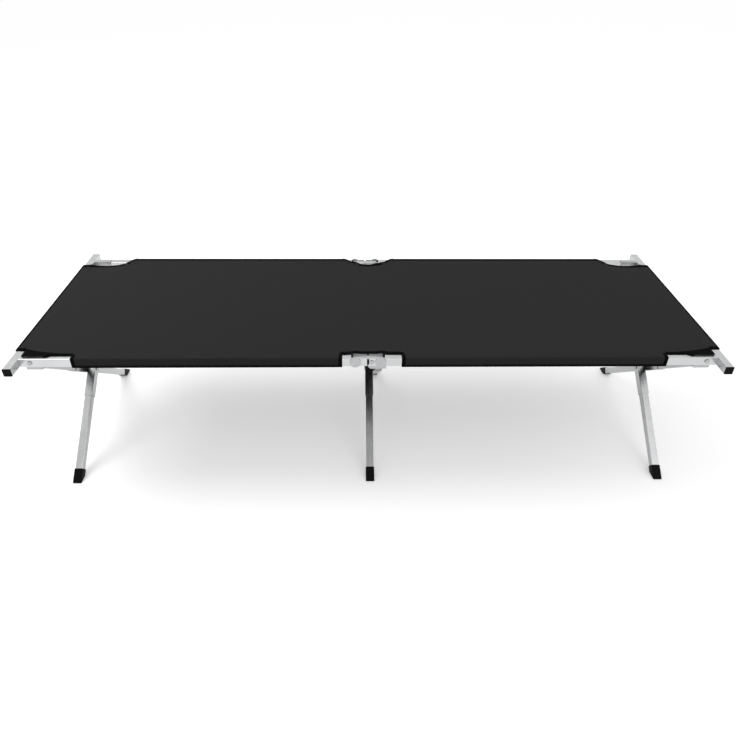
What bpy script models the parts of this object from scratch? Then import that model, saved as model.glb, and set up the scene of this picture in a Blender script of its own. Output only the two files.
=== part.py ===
import math

import bmesh
import bpy
from mathutils import Matrix, Vector

# Folding camping cot on three crossed leg frames, metres, +Z up.
# The floor is z = 0, the cot's length runs along X, and its front long side faces -Y.
# The side rails fold at a double hinge in the middle, the leg frames close like scissors and swing along the rails.

# Overall sizes
frame_length = 1.900
frame_width = 0.696
deck_height = 0.460
bar_overhang = 0.058

# Clearances between pieces
clearance = 0.0003
leg_play = 0.0005
swing_gap = 0.001

# Square tubes
rail_side = 0.025
bar_side = 0.022
leg_side = 0.022
tube_wall = 0.0015
tube_corner = 0.0014
tube_inner_corner = 0.0004

# Double hinge in the middle of each side rail
hinge_x = -0.0105
hinge_reach = 0.034
hinge_gap = 0.006
hinge_pin_radius = 0.004
hinge_head_radius = 0.015
hinge_head_thickness = 0.002
link_width = 0.016
link_play = 0.0005
link_notch_margin = 0.0007

# Leg frames: the end ones stand this far in from the ends of the cot
station_inset = 0.060
foot_inset = 0.0065

# Hangers riveted to the inner sides of the rails
hanger_wall = 0.002
ear_radius = 0.0095
rivet_radius = 0.003
rivet_head_radius = 0.0065
rivet_head_thickness = 0.002
end_rivet_offset = 0.010
end_hanger_inward = 0.022
end_hanger_gap = 0.004
centre_hanger_overlap = 0.0075
centre_flange_width = 0.008

# Swivels between the hangers and the legs
swivel_wall = 0.0025
swivel_height = 0.021
pivot_radius = 0.004
pivot_head_radius = 0.0065
pivot_head_thickness = 0.002

# Sleeves and pins where the legs cross
leg_sleeve_wall = 0.0014
leg_sleeve_length = 0.186
crossing_head_radius = 0.007
crossing_head_thickness = 0.002

# Moulded feet
foot_side = 0.026
foot_length = 0.045
foot_toe = 0.012
foot_corner = 0.003
foot_edge = 0.0015
leg_ground_gap = 0.020

# Pegs and plugs of the end bars
peg_play = 0.0005
peg_length = 0.010
cap_head_thickness = 0.003
cap_edge = 0.0008
cap_plug_length = 0.014

# Fabric
fabric_wall = 0.0022
centre_notch_half = 0.078
centre_notch_depth = 0.039
notch_roundness = 0.45
corner_notch_length = 0.168
corner_curve_length = 0.024
corner_notch_depth = 0.0353
corner_tongue_depth = 0.047

# Places worked out from the sizes above
rail_y = frame_width / 2 - bar_overhang
sleeve_half = rail_side / 2 + clearance + fabric_wall
end_sleeve_half = bar_side / 2 + clearance + fabric_wall
rail_z = deck_height - sleeve_half
rail_top = rail_z + rail_side / 2
rail_bottom = rail_z - rail_side / 2
bar_inner_x = frame_length / 2 - bar_side
rail_end_x = bar_inner_x - clearance
station_x = frame_length / 2 - station_inset
pivot_z = rail_z - sleeve_half - foot_side / 2 - swing_gap
hanger_outer = rail_y - rail_side / 2 - clearance
hanger_inner = hanger_outer - hanger_wall
web_outer = hanger_inner - clearance
web_inner = web_outer - swivel_wall
leg_top_y = web_inner - leg_play - leg_side / 2
foot_y = rail_y - foot_inset
leg_tilt = math.atan2(leg_top_y + foot_y, pivot_z)
leg_reach = math.hypot(leg_top_y + foot_y, pivot_z)
crossing_reach = leg_reach * leg_top_y / (leg_top_y + foot_y)
crossing_z = pivot_z * foot_y / (leg_top_y + foot_y)
leg_sleeve_inner = leg_side + 2 * clearance
leg_sleeve_side = leg_sleeve_inner + 2 * leg_sleeve_wall
leg_offset = leg_sleeve_side + 2 * clearance
arm_inside = leg_side / 2 + clearance
arm_outside = arm_inside + swivel_wall
hinge_left_x = hinge_x - hinge_reach
hinge_right_x = hinge_x + hinge_reach
link_height = rail_side - 2 * tube_wall - 2 * link_play
deck_half_width = rail_y - sleeve_half - clearance
deck_end_x = frame_length / 2 - bar_side / 2 - end_sleeve_half - clearance
outer_edge = rail_y + sleeve_half
tongue_half = outer_edge - corner_tongue_depth

# Side of the cot, with its direction along Y
sides = {"front": -1, "back": 1}

# Leg frame: place of its swing axis along X, and how far the leg hung on the front rail stands beside it
stations = {
    "left": (-station_x, -leg_offset),
    "centre": (0.0, leg_offset),
    "right": (station_x, leg_offset),
}

pin_steps = 12
crossing_steps = 20
head_steps = 28
boolean_reach = 0.002


# Materials


def make_material(name, colour, roughness, metallic):
    material = bpy.data.materials.new(name)
    material.use_nodes = True
    shader = material.node_tree.nodes["Principled BSDF"]
    shader.inputs["Base Color"].default_value = (*colour, 1)
    shader.inputs["Roughness"].default_value = roughness
    shader.inputs["Metallic"].default_value = metallic
    material.diffuse_color = (*colour, 1)
    return material


def aluminium():
    return make_material("aluminium", (0.62, 0.63, 0.65), 0.38, 1.0)


def zinc_steel():
    return make_material("zinc_steel", (0.42, 0.43, 0.45), 0.45, 1.0)


def black_plastic():
    return make_material("black_plastic", (0.018, 0.018, 0.019), 0.55, 0.0)


def charcoal_fabric():
    return make_material("charcoal_fabric", (0.032, 0.032, 0.034), 0.9, 0.0)


# Outlines


def square(side, corner=0.0, centre=(0.0, 0.0), steps=2):
    half = side / 2 - corner
    turns = [i / steps for i in range(steps + 1)] if corner > 0 else [0.5]
    points = []
    for k, (u, v) in enumerate(((1, 1), (-1, 1), (-1, -1), (1, -1))):
        for part in turns:
            angle = math.radians(90 * (k + part))
            points.append((centre[0] + u * half + corner * math.cos(angle),
                           centre[1] + v * half + corner * math.sin(angle)))
    return points


def arc(centre, radius, start, end, steps):
    angles = [math.radians(start + (end - start) * i / steps) for i in range(steps + 1)]
    return [(centre[0] + radius * math.cos(a), centre[1] + radius * math.sin(a)) for a in angles]


def circle(centre, radius, steps=pin_steps):
    return arc(centre, radius, 0, 360, steps)[:-1]


def rectangle(u0, u1, v0, v1):
    return [(u0, v0), (u1, v0), (u1, v1), (u0, v1)]


# Solids


def loft(name, sections, axis, closed=False):
    # Each section is a place along the axis and an outline in the other two coordinates
    across = [(1, 2), (0, 2), (0, 1)][axis]
    bm = bmesh.new()
    rings = []
    for place, outline in sections:
        ring = []
        for u, v in outline:
            spot = [0.0, 0.0, 0.0]
            spot[axis] = place
            spot[across[0]] = u
            spot[across[1]] = v
            ring.append(bm.verts.new(spot))
        rings.append(ring)
    following = rings[1:] + rings[:1] if closed else rings[1:]
    for one, two in zip(rings, following):
        for i in range(len(one)):
            j = (i + 1) % len(one)
            bm.faces.new((one[i], one[j], two[j], two[i]))
    if not closed:
        bm.faces.new(rings[0])
        bm.faces.new(rings[-1])
    bmesh.ops.recalc_face_normals(bm, faces=bm.faces)
    mesh = bpy.data.meshes.new(name)
    bm.to_mesh(mesh)
    bm.free()
    item = bpy.data.objects.new(name, mesh)
    bpy.context.collection.objects.link(item)
    return item


def prism(name, outline, axis, start, end):
    return loft(name, [(start, outline), (end, outline)], axis)


def square_tube(name, side, axis, start, end, centre=(0.0, 0.0), wall=tube_wall, corner=tube_corner):
    outer = square(side, corner, centre)
    inner = square(side - 2 * wall, tube_inner_corner, centre)
    return loft(name, [(start, outer), (end, outer), (end, inner), (start, inner)], axis, closed=True)


def combine(item, other, operation):
    change = item.modifiers.new("combine", "BOOLEAN")
    change.operation = operation
    change.object = other
    graph = bpy.context.evaluated_depsgraph_get()
    graph.update()
    mesh = bpy.data.meshes.new_from_object(item.evaluated_get(graph))
    item.modifiers.clear()
    item.data = mesh
    bpy.data.objects.remove(other)
    return item


def cut(item, cutter):
    return combine(item, cutter, "DIFFERENCE")


def join(item, other):
    return combine(item, other, "UNION")


def keep_within(item, other):
    return combine(item, other, "INTERSECT")


def finish(item, material, origin=None, parent=None):
    # Shades the piece, and puts its origin on the axis that it turns about
    item.data.materials.clear()
    item.data.materials.append(material)
    item.data.shade_smooth()
    item.data.set_sharp_from_angle(angle=math.radians(35))
    if origin is not None:
        item.data.transform(Matrix.Translation(-Vector(origin)))
        item.location = origin
    if parent is not None:
        item.parent = parent
    return item


def headed_pin(name, radius, head_radius, start, end, head_thickness, axis, centre, steps):
    # Shank between two flat heads that stand outside the start and the end
    shank = circle(centre, radius, steps)
    head = circle(centre, head_radius, steps)
    return loft(name, [(start - head_thickness, head), (start, head), (start, shank),
                       (end, shank), (end, head), (end + head_thickness, head)], axis)


# Side rails and their double hinge


def side_rail(side, half, metal):
    y = sides[side] * rail_y
    across = 1 if half == "right" else -1
    hinge_end = hinge_x + across * hinge_gap / 2
    pin_x = hinge_x + across * hinge_reach
    reach = rail_side / 2 + boolean_reach
    rail = square_tube(f"{side}_{half}_rail", rail_side, 0, *sorted((hinge_end, across * rail_end_x)),
                       centre=(y, rail_z))
    pin_hole = circle((pin_x, rail_z), hinge_pin_radius + clearance)
    cut(rail, prism("hole", pin_hole, 1, y - reach, y + reach))
    slot_end = pin_x + across * (link_height / 2 + link_notch_margin)
    slot_start = hinge_end - across * boolean_reach
    slot = rectangle(*sorted((slot_start, slot_end)), rail_top - 2 * tube_wall, rail_top + boolean_reach)
    cut(rail, prism("slot", slot, 1, y - link_width / 2 - link_play, y + link_width / 2 + link_play))
    for station in stations:
        if rail_half(station) == half:
            rivet_hole = circle((rivet_x(station), rail_z), rivet_radius + clearance)
            cut(rail, prism("hole", rivet_hole, 1, y - reach, y + reach))
    return finish(rail, metal, origin=(pin_x, y, rail_z))


def rail_half(station):
    return "left" if station == "left" else "right"


def rivet_x(station):
    x = stations[station][0]
    return x + math.copysign(end_rivet_offset, x) if x else x


def hinge_link(side, metal):
    # Bar inside the two tubes, round about both pins and notched below round the hanger's rivet
    y = sides[side] * rail_y
    radius = link_height / 2
    outline = arc((hinge_right_x, rail_z), radius, -90, 90, 12) + arc((hinge_left_x, rail_z), radius, 90, 270, 12)
    link = prism(f"{side}_link", outline, 1, y - link_width / 2, y + link_width / 2)
    for pin_x in (hinge_left_x, hinge_right_x):
        hole = circle((pin_x, rail_z), hinge_pin_radius + clearance)
        cut(link, prism("hole", hole, 1, y - link_width, y + link_width))
    # The rivet leaves the notch on an arc about the right pin
    rivet_reach = hinge_right_x - stations["centre"][0]
    room = rivet_radius + link_notch_margin
    notch_left = hinge_right_x - rivet_reach - room
    notch_right = hinge_right_x - math.sqrt(rivet_reach ** 2 - radius ** 2) + room
    notch = rectangle(notch_left, notch_right, rail_z - rail_side, rail_z + room)
    cut(link, prism("notch", notch, 1, y - link_width, y + link_width))
    return finish(link, metal, origin=(hinge_right_x, y, rail_z))


def hinge_pin(side, half, metal):
    y = sides[side] * rail_y
    pin_x = hinge_right_x if half == "right" else hinge_left_x
    reach = rail_side / 2 + clearance
    pin = headed_pin(f"{side}_{half}_hinge_pin", hinge_pin_radius, hinge_head_radius, y - reach, y + reach,
                     hinge_head_thickness, 1, (pin_x, rail_z), head_steps)
    return finish(pin, metal, origin=(pin_x, y, rail_z))


# Hangers and swivels


def hanger_span(station):
    # The hanger's reach along the rail, and the top of its plate
    x = stations[station][0]
    if station == "centre":
        return hinge_x - centre_hanger_overlap, hinge_right_x - hinge_head_radius - clearance, rail_top - clearance
    ends = sorted((x - math.copysign(end_hanger_inward, x), math.copysign(bar_inner_x - end_hanger_gap, x)))
    return *ends, rail_top + clearance + hanger_wall


def hanger_section(station, across, top):
    # Angle section: an end hanger folds over the rail, the centre one under it
    bottom = pivot_z - ear_radius
    inner = across * hanger_inner
    outer = across * hanger_outer
    if station == "centre":
        lip = across * (hanger_outer + centre_flange_width)
        under = rail_bottom - clearance
        return [(inner, bottom), (outer, bottom), (outer, under - hanger_wall), (lip, under - hanger_wall),
                (lip, under), (outer, under), (outer, top), (inner, top)]
    lip = across * rail_y
    over = rail_top + clearance
    return [(inner, bottom), (outer, bottom), (outer, over), (lip, over), (lip, top), (inner, top)]


def hanger(station, side, metal):
    x = stations[station][0]
    across = sides[side]
    start, end, top = hanger_span(station)
    plate = prism(f"{station}_{side}_hanger", hanger_section(station, across, top), 0,
                  min(start, x - ear_radius), max(end, x + ear_radius))
    face = arc((x, pivot_z), ear_radius, 180, 360, 12)
    face += [(end, rail_bottom), (end, top + boolean_reach), (start, top + boolean_reach), (start, rail_bottom)]
    span = sorted((across * (hanger_inner - boolean_reach), across * (rail_y + boolean_reach)))
    keep_within(plate, prism("face", face, 1, *span))
    ear_hole = circle((x, pivot_z), pivot_radius + clearance)
    cut(plate, prism("hole", ear_hole, 1, *span))
    # The rivet runs from the middle of the plate through both walls of the rail
    centre = (rivet_x(station), rail_z)
    shank = circle(centre, rivet_radius)
    head = circle(centre, rivet_head_radius)
    seat = rail_y + rail_side / 2 + clearance
    rivet = loft("rivet", [(across * (hanger_inner + hanger_wall / 2), shank), (across * seat, shank),
                           (across * seat, head), (across * (seat + rivet_head_thickness), head)], 1)
    join(plate, rivet)
    return finish(plate, metal, origin=(x, across * hanger_outer, rail_z))


def swivel_section(leg_x, start, end, across):
    # Plan of the bracket: its web along the hanger, and an arm on each side of the leg
    tip = leg_top_y - swivel_height / 2 - boolean_reach
    points = [(start, web_outer), (end, web_outer), (end, web_inner)]
    points += [(leg_x + arm_outside, web_inner), (leg_x + arm_outside, tip), (leg_x + arm_inside, tip)]
    points += [(leg_x + arm_inside, web_inner), (leg_x - arm_inside, web_inner), (leg_x - arm_inside, tip)]
    points += [(leg_x - arm_outside, tip), (leg_x - arm_outside, web_inner), (start, web_inner)]
    kept = [p for p, q in zip(points, points[-1:] + points[:-1]) if math.dist(p, q) > 1e-6]
    return [(u, across * v) for u, v in kept]


def swivel(station, side, metal):
    x, offset = stations[station]
    across = sides[side]
    leg_x = x + offset if side == "front" else x
    start = min(leg_x - arm_outside, x - swivel_height / 2) if side == "front" else leg_x - arm_outside
    end = max(leg_x + arm_outside, x + swivel_height / 2) if side == "front" else leg_x + arm_outside
    half = swivel_height / 2
    bracket = prism(f"{station}_{side}_swivel", swivel_section(leg_x, start, end, across), 2,
                    pivot_z - half, pivot_z + half)
    # Round ends of the arms, about the leg's pin
    back = across * (web_outer + boolean_reach)
    pin = (across * leg_top_y, pivot_z)
    turn = (90, 270) if across > 0 else (90, -90)
    cheek = [(back, pivot_z + half)] + arc(pin, half, *turn, 12) + [(back, pivot_z - half)]
    keep_within(bracket, prism("cheek", cheek, 0, start - boolean_reach, end + boolean_reach))
    if side == "front":
        # Round end of the longer web, about the swing pivot
        far = leg_x + math.copysign(arm_outside + boolean_reach, offset)
        turn = (-90, 90) if offset < 0 else (270, 90)
        web = arc((x, pivot_z), half, *turn, 12) + [(far, pivot_z + half), (far, pivot_z - half)]
        keep_within(bracket, prism("web", web, 1, *sorted((0.0, across * rail_y))))
    seat = hanger_outer + clearance
    centre = (x, pivot_z)
    shank = circle(centre, pivot_radius)
    head = circle(centre, pivot_head_radius)
    stud = loft("stud", [(across * (web_inner + swivel_wall / 2), shank), (across * seat, shank),
                         (across * seat, head), (across * (seat + pivot_head_thickness), head)], 1)
    join(bracket, stud)
    middle = (arm_inside + arm_outside) / 2
    join(bracket, prism("pin", circle(pin, pivot_radius), 0, leg_x - middle, leg_x + middle))
    return finish(bracket, metal, origin=(x, across * web_outer, pivot_z))


# Legs, built hanging straight down from their pin and then tilted


def leg_way(side):
    # The leg hung on the front rail stands on the back foot, and the other way round
    return 1 if side == "front" else -1


def leg(station, side, metal):
    x, offset = stations[station]
    way = leg_way(side)
    half = leg_side / 2
    length = leg_reach - leg_ground_gap
    tube = square_tube(f"{station}_{side}_leg", leg_side, 2, -length, half)
    outline = arc((0.0, 0.0), half, 0, 180, 12)
    outline += [(-half - boolean_reach, -half), (-half - boolean_reach, -length - boolean_reach),
                (half + boolean_reach, -length - boolean_reach), (half + boolean_reach, -half)]
    outline[0] = (half, 0.0)
    keep_within(tube, prism("outline", outline, 0, -leg_side, leg_side))
    for z in (0.0, -crossing_reach):
        cut(tube, prism("hole", circle((0.0, z), pivot_radius + clearance), 0, -leg_side, leg_side))
    finish(tube, metal)
    tube.location = (x + offset if side == "front" else x, sides[side] * leg_top_y, pivot_z)
    tube.rotation_euler = (way * leg_tilt, 0, 0)
    return tube


def leg_sleeve(tube, metal):
    top = -crossing_reach + leg_sleeve_length / 2
    sleeve = square_tube(f"{tube.name}_sleeve", leg_sleeve_side, 2, top - leg_sleeve_length, top,
                         wall=leg_sleeve_wall)
    hole = circle((0.0, -crossing_reach), pivot_radius + clearance)
    cut(sleeve, prism("hole", hole, 0, -leg_side, leg_side))
    return finish(sleeve, metal, parent=tube)


def foot(side, tube, plastic):
    # Square boot over the end of the leg, cut flat where it stands
    way = leg_way(side)
    toe = -leg_reach - foot_toe
    mouth = toe + foot_length
    full = square(foot_side, foot_corner)
    drawn_in = square(foot_side - 2 * foot_edge, foot_corner - foot_edge)
    boot = loft(f"{tube.name}_foot", [(mouth, drawn_in), (mouth - foot_edge, full), (toe + foot_edge, full),
                                      (toe, drawn_in)], 2)
    leg_end = -leg_reach + leg_ground_gap
    socket = square(leg_side + 2 * clearance, tube_corner)
    cut(boot, prism("socket", socket, 2, leg_end - clearance, mouth + boolean_reach))
    bm = bmesh.new()
    bm.from_mesh(boot.data)
    everything = bm.verts[:] + bm.edges[:] + bm.faces[:]
    upward = (0.0, way * math.sin(leg_tilt), math.cos(leg_tilt))
    bmesh.ops.bisect_plane(bm, geom=everything, dist=1e-7, plane_co=(0.0, 0.0, -leg_reach), plane_no=upward,
                           clear_inner=True)
    bmesh.ops.holes_fill(bm, edges=[edge for edge in bm.edges if edge.is_boundary])
    bmesh.ops.recalc_face_normals(bm, faces=bm.faces)
    bm.to_mesh(boot.data)
    bm.free()
    return finish(boot, plastic, parent=tube)


def crossing_pin(station, metal):
    x, offset = stations[station]
    ends = sorted((x, x + offset))
    reach = leg_sleeve_side / 2 + clearance
    pin = headed_pin(f"{station}_crossing_pin", pivot_radius, crossing_head_radius, ends[0] - reach,
                     ends[1] + reach, crossing_head_thickness, 0, (0.0, crossing_z), crossing_steps)
    return finish(pin, metal, origin=(x, 0.0, crossing_z))


# End bars


def end_bar(end, metal):
    across = -1 if end == "left" else 1
    x = across * (frame_length / 2 - bar_side / 2)
    half = frame_width / 2 - cap_head_thickness - clearance
    bar = square_tube(f"{end}_end_bar", bar_side, 1, -half, half, centre=(x, rail_z))
    peg_side = rail_side - 2 * tube_wall - 2 * peg_play
    root = across * (bar_inner_x + tube_wall / 2)
    tip = across * (bar_inner_x - peg_length)
    for way in sides.values():
        outline = square(peg_side, peg_play, (way * rail_y, rail_z))
        join(bar, prism("peg", outline, 0, *sorted((root, tip))))
    return finish(bar, metal, origin=(x, 0.0, rail_z))


def bar_cap(end, side, plastic):
    # Flat head flush with the tube, and a plug inside it
    across = sides[side]
    x = (-1 if end == "left" else 1) * (frame_length / 2 - bar_side / 2)
    centre = (x, rail_z)
    outside = frame_width / 2
    seat = outside - cap_head_thickness
    face = square(bar_side - 2 * cap_edge, tube_corner - cap_edge, centre)
    head = square(bar_side, tube_corner, centre)
    plug = square(bar_side - 2 * tube_wall - 2 * clearance, tube_inner_corner, centre)
    places = [(outside, face), (outside - cap_edge, head), (seat, head), (seat, plug),
              (seat - cap_plug_length, plug)]
    cap = loft(f"{end}_{side}_bar_cap", [(across * place, outline) for place, outline in places], 1)
    return finish(cap, plastic, origin=(x, across * seat, rail_z))


# Fabric


def notch_cutters(across):
    # Openings of the cover at the middle and the corners of one long side
    out = outer_edge + boolean_reach
    low = rail_z - sleeve_half - boolean_reach
    high = deck_height + boolean_reach
    angles = [math.radians(7.5 * i) for i in range(13)]
    curve = [(centre_notch_half * (1 - math.cos(a) ** notch_roundness),
              outer_edge - centre_notch_depth * math.sin(a) ** notch_roundness) for a in angles]
    rim = [(u - centre_notch_half, v) for u, v in curve]
    outlines = [[(-centre_notch_half, out)] + rim + [(-u, v) for u, v in rim[-2::-1]] + [(centre_notch_half, out)]]
    start = frame_length / 2 - corner_notch_length
    curve = [(start + corner_curve_length * (1 - math.cos(a)),
              outer_edge - corner_notch_depth * math.sin(a)) for a in angles]
    corner = [(start, out)] + curve + [(frame_length / 2, tongue_half), (frame_length / 2, out)]
    outlines.append(corner)
    outlines.append([(-u, v) for u, v in corner])
    return [prism("notch", [(u, across * v) for u, v in outline], 2, low, high) for outline in outlines]


def side_sleeve(side, half, cloth):
    across = sides[side]
    span = (clearance, rail_end_x) if half == "right" else (-rail_end_x, -clearance)
    y = across * rail_y
    sleeve = square_tube(f"{side}_{half}_fabric_sleeve", 2 * sleeve_half, 0, *span, centre=(y, rail_z),
                         wall=fabric_wall, corner=tube_corner + clearance)
    for cutter in notch_cutters(across):
        cut(sleeve, cutter)
    pin_x = hinge_right_x if half == "right" else hinge_left_x
    return finish(sleeve, cloth, origin=(pin_x, y, rail_z))


def deck(half, cloth):
    across = 1 if half == "right" else -1
    span = sorted((hinge_x + across * clearance, across * deck_end_x))
    outline = rectangle(*span, -deck_half_width, deck_half_width)
    panel = prism(f"deck_{half}", outline, 2, deck_height - fabric_wall, deck_height)
    for way in sides.values():
        for cutter in notch_cutters(way):
            cut(panel, cutter)
    return finish(panel, cloth, origin=(hinge_x + across * hinge_reach, 0.0, rail_z))


def end_sleeve(end, cloth):
    x = (-1 if end == "left" else 1) * (frame_length / 2 - bar_side / 2)
    sleeve = square_tube(f"{end}_end_fabric_sleeve", 2 * end_sleeve_half, 1, -tongue_half, tongue_half,
                         centre=(x, rail_z), wall=fabric_wall, corner=tube_corner + clearance)
    return finish(sleeve, cloth, origin=(x, 0.0, rail_z))


def build():
    metal = aluminium()
    steel = zinc_steel()
    plastic = black_plastic()
    cloth = charcoal_fabric()
    for side in sides:
        hinge_link(side, steel)
        for half in ("left", "right"):
            side_rail(side, half, metal)
            hinge_pin(side, half, steel)
            side_sleeve(side, half, cloth)
    for station in stations:
        crossing_pin(station, steel)
        for side in sides:
            hanger(station, side, steel)
            swivel(station, side, steel)
            tube = leg(station, side, metal)
            leg_sleeve(tube, metal)
            foot(side, tube, plastic)
    for end in ("left", "right"):
        deck(end, cloth)
        end_bar(end, metal)
        end_sleeve(end, cloth)
        for side in sides:
            bar_cap(end, side, plastic)


for item in list(bpy.data.objects):
    bpy.data.objects.remove(item)
build()
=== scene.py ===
import math

import bmesh
import bpy
from mathutils import Matrix, Vector


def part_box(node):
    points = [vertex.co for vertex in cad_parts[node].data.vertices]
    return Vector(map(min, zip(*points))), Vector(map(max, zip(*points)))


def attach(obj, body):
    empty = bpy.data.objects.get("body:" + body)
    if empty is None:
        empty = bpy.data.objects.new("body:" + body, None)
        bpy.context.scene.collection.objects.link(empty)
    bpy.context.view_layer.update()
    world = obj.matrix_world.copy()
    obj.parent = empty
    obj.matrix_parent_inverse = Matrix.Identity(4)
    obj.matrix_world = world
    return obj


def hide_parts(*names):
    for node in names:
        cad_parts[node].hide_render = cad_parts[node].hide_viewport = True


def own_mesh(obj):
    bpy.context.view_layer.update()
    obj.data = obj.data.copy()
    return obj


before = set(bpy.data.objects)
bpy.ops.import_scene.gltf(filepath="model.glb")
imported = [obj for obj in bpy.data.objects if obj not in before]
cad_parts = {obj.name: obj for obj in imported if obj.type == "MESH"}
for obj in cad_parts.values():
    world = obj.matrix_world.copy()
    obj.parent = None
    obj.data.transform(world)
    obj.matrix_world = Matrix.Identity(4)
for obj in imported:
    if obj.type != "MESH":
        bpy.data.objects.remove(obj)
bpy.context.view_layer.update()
print("frame loaded")

# Places read off the metal frame and its plain cloth, metres
railLow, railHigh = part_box("back_right_rail")
sleeveLow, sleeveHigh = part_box("back_right_fabric_sleeve")
deckLow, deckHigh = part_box("deck_right")
barLow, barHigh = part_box("right_end_bar")
endSleeveLow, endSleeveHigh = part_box("right_end_fabric_sleeve")
legLow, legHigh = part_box("centre_back_leg")
railY = (railLow.y + railHigh.y) / 2
railZ = (railLow.z + railHigh.z) / 2
railSide = railHigh.y - railLow.y
barSide = barHigh.z - barLow.z
legSide = legHigh.x - legLow.x
outerY = sleeveHigh.y
seamY = sleeveLow.y
seamDepth = outerY - seamY
coverTop = deckHigh.z
coverBottom = sleeveLow.z
foldX = (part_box("deck_left")[1].x + deckLow.x) / 2
deckEndX = deckHigh.x
frameEndX = barHigh.x
barX = (endSleeveLow.x + endSleeveHigh.x) / 2
tongueY = endSleeveHigh.y
endSleeveTop = endSleeveHigh.z

sideWay = {"front": -1, "back": 1}
halfWay = {"left": -1, "right": 1}
hair = 0.0001  # heights and depths closer than this count as the same


# Shader maths


class Value:
    # One output socket, so that sums on it read as plain maths
    def __init__(self, tree, socket):
        self.tree = tree
        self.socket = socket

    def maths(self, operation, one, two):
        return addNode(self.tree, "Math", {"operation": operation}, {0: one, 1: two})

    def __add__(self, other):
        return self.maths("ADD", self, other)

    def __radd__(self, other):
        return self.maths("ADD", other, self)

    def __sub__(self, other):
        return self.maths("SUBTRACT", self, other)

    def __rsub__(self, other):
        return self.maths("SUBTRACT", other, self)

    def __mul__(self, other):
        return self.maths("MULTIPLY", self, other)

    def __rmul__(self, other):
        return self.maths("MULTIPLY", other, self)

    def __abs__(self):
        return self.maths("ABSOLUTE", self, 0)


def addNode(tree, kind, settings, sockets, output=0):
    # Settings are set first, then each socket gets its number or link
    node = tree.nodes.new("ShaderNode" + kind)
    for name, setting in settings.items():
        setattr(node, name, setting)
    for name, entry in sockets.items():
        if isinstance(entry, Value):
            tree.links.new(entry.socket, node.inputs[name])
        else:
            node.inputs[name].default_value = entry
    return Value(tree, node.outputs[output])


def wave(value, period):
    return value.maths("SINE", value * (2 * math.pi / period), 0)


def smallest(one, two):
    return one.maths("MINIMUM", one, two)


def largest(one, two):
    return one.maths("MAXIMUM", one, two)


def fade(value, low, high):
    # Runs smoothly from 0 at low to 1 at high
    sockets = {"Value": value, "From Min": low, "From Max": high}
    return addNode(value.tree, "MapRange", {"interpolation_type": "SMOOTHSTEP"}, sockets)


def noise(place, scale, detail=3, roughness=0.5):
    sockets = {"Vector": place, "Scale": scale, "Detail": detail, "Roughness": roughness}
    return addNode(place.tree, "TexNoise", {}, sockets)


def stretched(place, scale):
    return addNode(place.tree, "VectorMath", {"operation": "MULTIPLY"}, {0: place, 1: scale})


def parts(place):
    split = addNode(place.tree, "SeparateXYZ", {}, {0: place})
    node = split.socket.node
    return [Value(place.tree, node.outputs[k]) for k in range(3)]


def objectPlace(tree):
    return addNode(tree, "TexCoord", {}, {}, "Object")


def flatPlace(tree):
    # Metres on the cloth laid flat, which every sheet and tape carries as a UV map
    return addNode(tree, "UVMap", {"uv_map": "flat"}, {})


def blendColour(tree, share, dark, light):
    # Colours on the Mix node are sockets 6 and 7, and its colour output is 2
    sockets = {0: share, 6: (*dark, 1), 7: (*light, 1)}
    return addNode(tree, "Mix", {"data_type": "RGBA"}, sockets, 2)


def bump(height, strength, distance):
    sockets = {"Height": height, "Strength": strength, "Distance": distance}
    return addNode(height.tree, "Bump", {}, sockets)


def shownRay(tree, *others):
    # 1 where the camera looks, or a ray of one of the other kinds, and 0 for the light itself
    shown = addNode(tree, "LightPath", {}, {}, "Is Camera Ray")
    for kind in others:
        shown = largest(shown, addNode(tree, "LightPath", {}, {}, kind))
    return shown


def newFinish(name, constants):
    material = bpy.data.materials.new(name)
    material.use_nodes = True
    tree = material.node_tree
    shader = tree.nodes["Principled BSDF"]
    for socket, number in constants.items():
        shader.inputs[socket].default_value = number
    return material, tree, shader


def feed(tree, shader, links):
    for socket, value in links.items():
        tree.links.new(value.socket, shader.inputs[socket])


# Finishes: colours, then pitches and depths in metres, and scales per metre

clothSettings = {
    "dark": (0.011, 0.011, 0.0113),
    "light": (0.025, 0.025, 0.0257),
    "weavePitch": 0.0012,
    "mottleScale": 9.0,
    "slubScale": 1560.0,
    "slubStretch": 0.04,
    "relief": 0.00015,
}


def makeClothFinish():
    # Plain weave with slubs along both threads
    constants = {"Specular IOR Level": 0.07, "Sheen Weight": 0.01, "Sheen Roughness": 0.5}
    material, tree, shader = newFinish("charcoal cloth", constants)
    flat = flatPlace(tree)
    u, v = parts(flat)[:2]
    pitch, scale, stretch = (clothSettings[key] for key in ("weavePitch", "slubScale", "slubStretch"))
    weave = wave(u, pitch) * wave(v, pitch)
    warp = noise(stretched(flat, (1, stretch, 1)), scale, 2)
    weft = noise(stretched(flat, (stretch, 1, 1)), scale, 2)
    mottle = noise(flat, clothSettings["mottleScale"], 5, 0.6)
    tone = 0.12 + 0.16 * weave + 0.30 * warp + 0.26 * weft + 0.30 * mottle
    grain = weave + 0.5 * warp + 0.5 * weft
    feed(tree, shader, {
        "Base Color": blendColour(tree, tone, clothSettings["dark"], clothSettings["light"]),
        "Roughness": 0.72 + 0.2 * mottle - 0.05 * weave,
        "Normal": bump(grain, 0.35, clothSettings["relief"]),
    })
    return material


tapeAndShadeSettings = {
    "dark": (0.0010, 0.0010, 0.0011),
    "light": (0.0042, 0.0042, 0.0045),
    "ribPitch": 0.0011,
    "fuzzScale": 900.0,
    "relief": 0.00012,
}


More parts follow.
